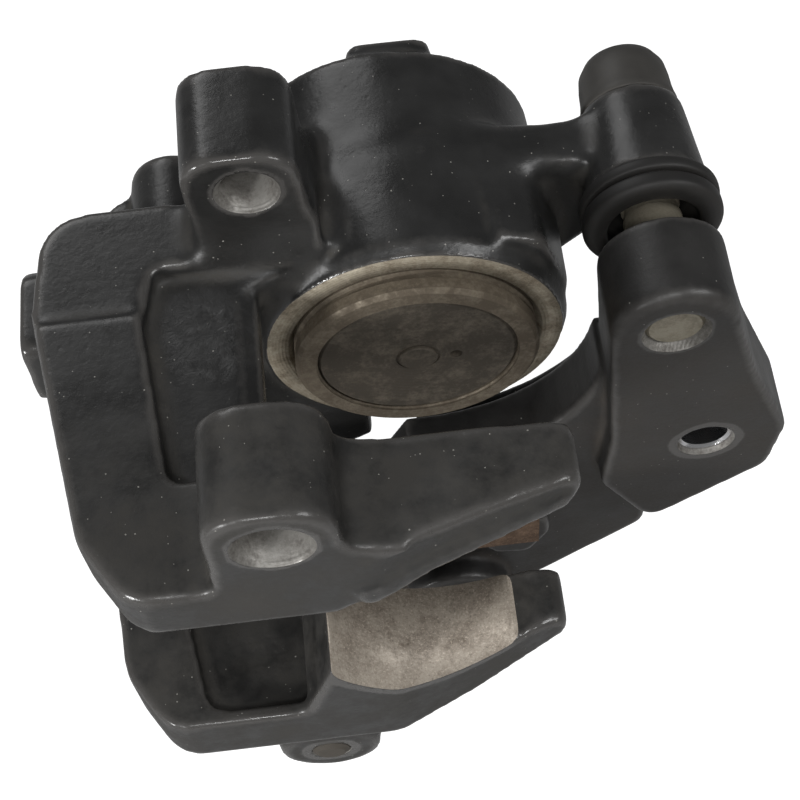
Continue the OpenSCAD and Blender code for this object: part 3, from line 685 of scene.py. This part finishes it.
# %% Caliper casting: machined cuts
bore_rows = [(0, 0), (17.7, 0), (17.7, 3.3), (17.05, 4), (17.05, 36.1), (0, 36.1)]
rear_rows = [(0, 0), (4.2, 0), (4.2, 7.1), (3.6, 7.6), (3.6, 23), (0, 23)]
front_rows = [(0, -43), (4.9, -43), (4.9, -41.3), (4.4, -40.8), (4.4, -22), (0, -22)]
casting_cuts = [
    rod("rim_cut", *BORE_AXIS, -0.5, 3.1, 21.3, cut_alloy, 160),
    lathe("bore_cut", bore_rows, BORE_AXIS, 160, cut_alloy),
    lathe("rear_hole", rear_rows, PAD_PIN_AXIS, 72, cut_hole),
    lathe("front_hole", front_rows, PAD_PIN_AXIS, 72, cut_hole),
    rod("bush_seat", *MAIN_AXIS, 10, 29, 5.15, cut_hole, 72),
    rod("hose_port", *HOSE_AXIS, 23, 36, 4.5, cut_hole, 72),
    rod("second_seat", *SECOND_AXIS, -42, -28, 3, cut_hole, 72),
    rod("arc_cut", *BORE_AXIS, -46, -24, 18, cut_arc, 200),
]
boolean(casting, casting_cuts, "DIFFERENCE")
note_relief(casting.data)
casting.data.shade_smooth()
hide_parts("caliper_body")
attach(casting, "caliper")
print("casting faces", len(casting.data.polygons))
print("casting finishes", [m.name for m in casting.data.materials])

# %% [markdown]
# The bracket is the other casting. It is bolted to the fork leg, so it carries a lot of
# road dirt besides the brake dust, and only its pin seats and threads are cut. It is
# made in the same way as the body, with a finer wrap because it is a smaller casting.

# %% Carrier bracket
BRACKET_VOXEL = 0.45
BRACKET_RUBS = 8
pin_seat_rows = [(0, -10), (4.6, -10), (4.6, -8.2), (4, -7.6), (4, 6), (0, 6)]
bracket_fill = [
    rod("fill", *MAIN_AXIS, -8.5, 4.3, 5),
    rod("fill", *NEAR_FIXING_AXIS, -8.5, 3.5, 6),
    rod("fill", *FAR_FIXING_AXIS, -8.5, 3.5, 6),
    rod("fill", *SECOND_AXIS, -9, 10, 5.5),
]
bracket_cuts = [
    lathe("pin_seat", pin_seat_rows, MAIN_AXIS, 72, cut_hole),
    rod("near_seat", *NEAR_FIXING_AXIS, -10, 5, 4.2, cut_hole, 72),
    rod("far_seat", *FAR_FIXING_AXIS, -10, 5, 4.2, cut_hole, 72),
    rod("bush_seat", *SECOND_AXIS, -11, 12, 4.6, cut_hole, 72),
]
bracket = welded_copy("bracket_casting", "carrier_bracket")
boolean(bracket, bracket_fill, "UNION")
even_mesh(bracket, BRACKET_VOXEL * MM)
set_points(bracket.data, rub(points_of(bracket.data), neighbours(bracket.data), BRACKET_RUBS))
bracket.data.materials.clear()
bracket.data.materials.append(bracket_paint)
boolean(bracket, bracket_cuts, "DIFFERENCE")
note_relief(bracket.data)
bracket.data.shade_smooth()
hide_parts("carrier_bracket")
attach(bracket, "carrier")
print("bracket", len(bracket.data.vertices), "points")

# %% [markdown]
# Rubber has no metal in its sheen: it is dark, even and a little waxy, and dust clings to
# it. The same dust and grain as on the castings serve here, with a much finer grain.

# %% Finish: dusty rubber
def rubber(name, coat, dust, dust_faces):
    finish, tree, shader = new_finish(name)
    grime = place(tree, brake_dust, {"On faces": dust_faces, "In hollows": 0.5,
                                     "Patch scale": 140.0})
    skin = place(tree, cast_grain, {"Scale": 2400.0, "Pits": 0.1})
    mottled = blend(tree, skin["Tone"], coat, tuple(c * 1.6 for c in coat))
    tree.links.new(blend(tree, grime["Mask"], mottled, dust), shader["Base Color"])
    tree.links.new(spread(tree, grime["Mask"], 0.0, 0.7, 0.52, 0.85), shader["Roughness"])
    bump = node(tree, "Bump", {"Height": skin["Height"], "Strength": 0.15, "Distance": 0.0001})
    tree.links.new(bump.outputs[0], shader["Normal"])
    return finish


boot_rubber = rubber("boot_rubber", (0.010, 0.0095, 0.009), (0.050, 0.044, 0.036), 0.2)
cap_rubber = rubber("cap_rubber", (0.035, 0.033, 0.030), (0.085, 0.077, 0.066), 0.6)
seal_rubber = rubber("seal_rubber", (0.012, 0.012, 0.012), (0.05, 0.045, 0.038), 0.2)
print("rubbers:", boot_rubber.name, cap_rubber.name, seal_rubber.name)

# %% [markdown]
# Boots are moulded, so their lips and folds are round. Each is turned on the lathe from
# a row of points whose corners are cut twice over. That gives a smooth curve that never
# leaves the CAD shape, where a spline through the same points would swing outside it.

# %% Rubber tools: round rows and turned pieces
def rounded_rows(rows, passes=2):
    """Cuts the corners of a closed row of points (Chaikin's way)."""
    for _ in range(passes):
        cut = []
        for k, (r0, y0) in enumerate(rows):
            r1, y1 = rows[(k + 1) % len(rows)]
            cut += [(r0 * 0.75 + r1 * 0.25, y0 * 0.75 + y1 * 0.25),
                    (r0 * 0.25 + r1 * 0.75, y0 * 0.25 + y1 * 0.75)]
        rows = cut
    return rows


def rubber_part(name, rows, axis, finish, node_name):
    piece = new_piece(name, lathe(name, rows, axis, 112, finish))
    note_relief(piece.data, 6)
    piece.data.shade_smooth()
    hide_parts(node_name)
    return piece

# %% [markdown]
# The main pin's boot has two lips and a groove between them. Its back end goes with the
# caliper, and its front end, which grips the pin, moves about a third as far, so the real
# boot stretches and shortens as the caliper slides; here it is turned once, in place. The
# cap that closes the far end of the boss rides with the caliper.

# %% Main pin: boot and cap
main_boot_rows = [
    (4.5, 14.2), (5.1, 14.2), (5.1, 13.25), (7, 13.2), (9.2, 13.2), (9.6, 12.9), (9.6, 11.6),
    (9.1, 11.3), (8.5, 11.2), (8.9, 10.9), (9.5, 10.6), (9.6, 9.6), (9.5, 8.7), (8.6, 8.1),
    (7.2, 8.0), (6.3, 8.3), (6.2, 9.2), (6.5, 10.4), (6.0, 11.2), (4.5, 11.8)]
main_boot = rubber_part("main_boot", rounded_rows(main_boot_rows), MAIN_AXIS, boot_rubber,
                        "main_pin_boot")
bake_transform(main_boot)
cap_rows = [
    (0, 37.5), (2.2, 37.45), (4.0, 37.0), (5.4, 35.9), (6.2, 34.4), (6.45, 32.5), (6.55, 30.4),
    (6.75, 29.0), (6.9, 28.4), (6.9, 27.7), (6.8, 27.5), (5.3, 27.5), (5.3, 33), (3.6, 35.9),
    (0, 35.9)]
pin_cap = rubber_part("pin_cap", cap_rows, MAIN_AXIS, cap_rubber, "main_pin_cap")
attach(pin_cap, "caliper")

# %% [markdown]
# The second pin's boot is a bellows of four folds between the bracket and the caliper. A
# loop lays the folds out at an even pitch. On the real caliper the bellows stretches over its
# whole length as the caliper slides, with one end kept at the bracket and the other at the
# caliper; here it is turned once, in place.

# %% Second pin: bellows
FOLDS, FOLD_PITCH, FIRST_FOLD = 4, 4.4, -27.8
bellows_rows = [(3.35, -29.1), (5.2, -29.2), (5.4, -28)]
for k in range(FOLDS):
    y = FIRST_FOLD + FOLD_PITCH * k
    bellows_rows += [(4.7, y + 0.6), (6.7, y + 1.7), (6.8, y + 2.3), (6.7, y + 2.9),
                     (4.7, y + 3.9)]
bellows_rows += [(6.9, -10.2), (7.1, -9.6), (7.1, -9.05), (3.4, -9.05)]
second_boot = rubber_part("second_boot", rounded_rows(bellows_rows), SECOND_AXIS, boot_rubber,
                          "second_pin_boot")
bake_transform(second_boot)

# %% [markdown]
# The small metal pieces keep their CAD shape, which is exact, and only take a finish:
# the piston is an anodised cup ringed with dust, the disc in its face is scratched and
# brown, the pins are steel, and the thread insert still shines because its bolt
# was taken out lately.

# %% Finishes of the small metal pieces
piston_skin = machined("piston_skin", (0.23, 0.195, 0.145), (0.12, 0.097, 0.07), 0.45, BORE_AXIS,
                       1500.0, speckled=0.06, rough=0.42, metallic=0.4)
disc_skin = machined("disc_skin", (0.125, 0.105, 0.078), (0.050, 0.041, 0.030), 0.45, BORE_AXIS,
                     1300.0, speckled=0.05, rough=0.5, metallic=0.15)
pin_steel = machined("pin_steel", (0.32, 0.29, 0.225), (0.19, 0.165, 0.125), 0.3, MAIN_AXIS,
                     1500.0, speckled=0.05, rough=0.4, metallic=0.5)
far_pin_steel = machined("far_pin_steel", (0.06, 0.055, 0.05), (0.085, 0.075, 0.062), 0.5,
                         SECOND_AXIS, 1500.0, speckled=0.05, rough=0.5, metallic=0.3)
bright_steel = machined("bright_steel", (0.75, 0.75, 0.76), (0.35, 0.34, 0.32), 0.05,
                        NEAR_FIXING_AXIS, 1600.0, rough=0.16, metallic=1.0)
clip_rust = machined("clip_rust", (0.30, 0.19, 0.12), (0.13, 0.08, 0.05), 0.45, BORE_AXIS,
                     300.0, speckled=0.2, rough=0.6, metallic=0.2)
yellow_zinc = machined("yellow_zinc", (0.45, 0.38, 0.22), (0.15, 0.13, 0.09), 0.3, BORE_AXIS,
                       700.0, rough=0.35, metallic=0.8)
node_finishes = {
    "piston": piston_skin, "piston_insert": disc_skin,
    "piston_seal": seal_rubber, "dust_seal": seal_rubber,
    "main_guide_pin": pin_steel, "main_pin_bush": pin_steel, "second_guide_pin": far_pin_steel,
    "second_pin_bush": boot_rubber, "bleed_screw": yellow_zinc, "bleed_screw_cap": boot_rubber,
    "near_thread_insert": bright_steel, "far_thread_insert": bright_steel,
    "pad_anchor_clip": clip_rust}
for node_name, finish in node_finishes.items():
    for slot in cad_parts[node_name].material_slots:
        slot.material = finish
print("finished CAD nodes:", len(node_finishes))
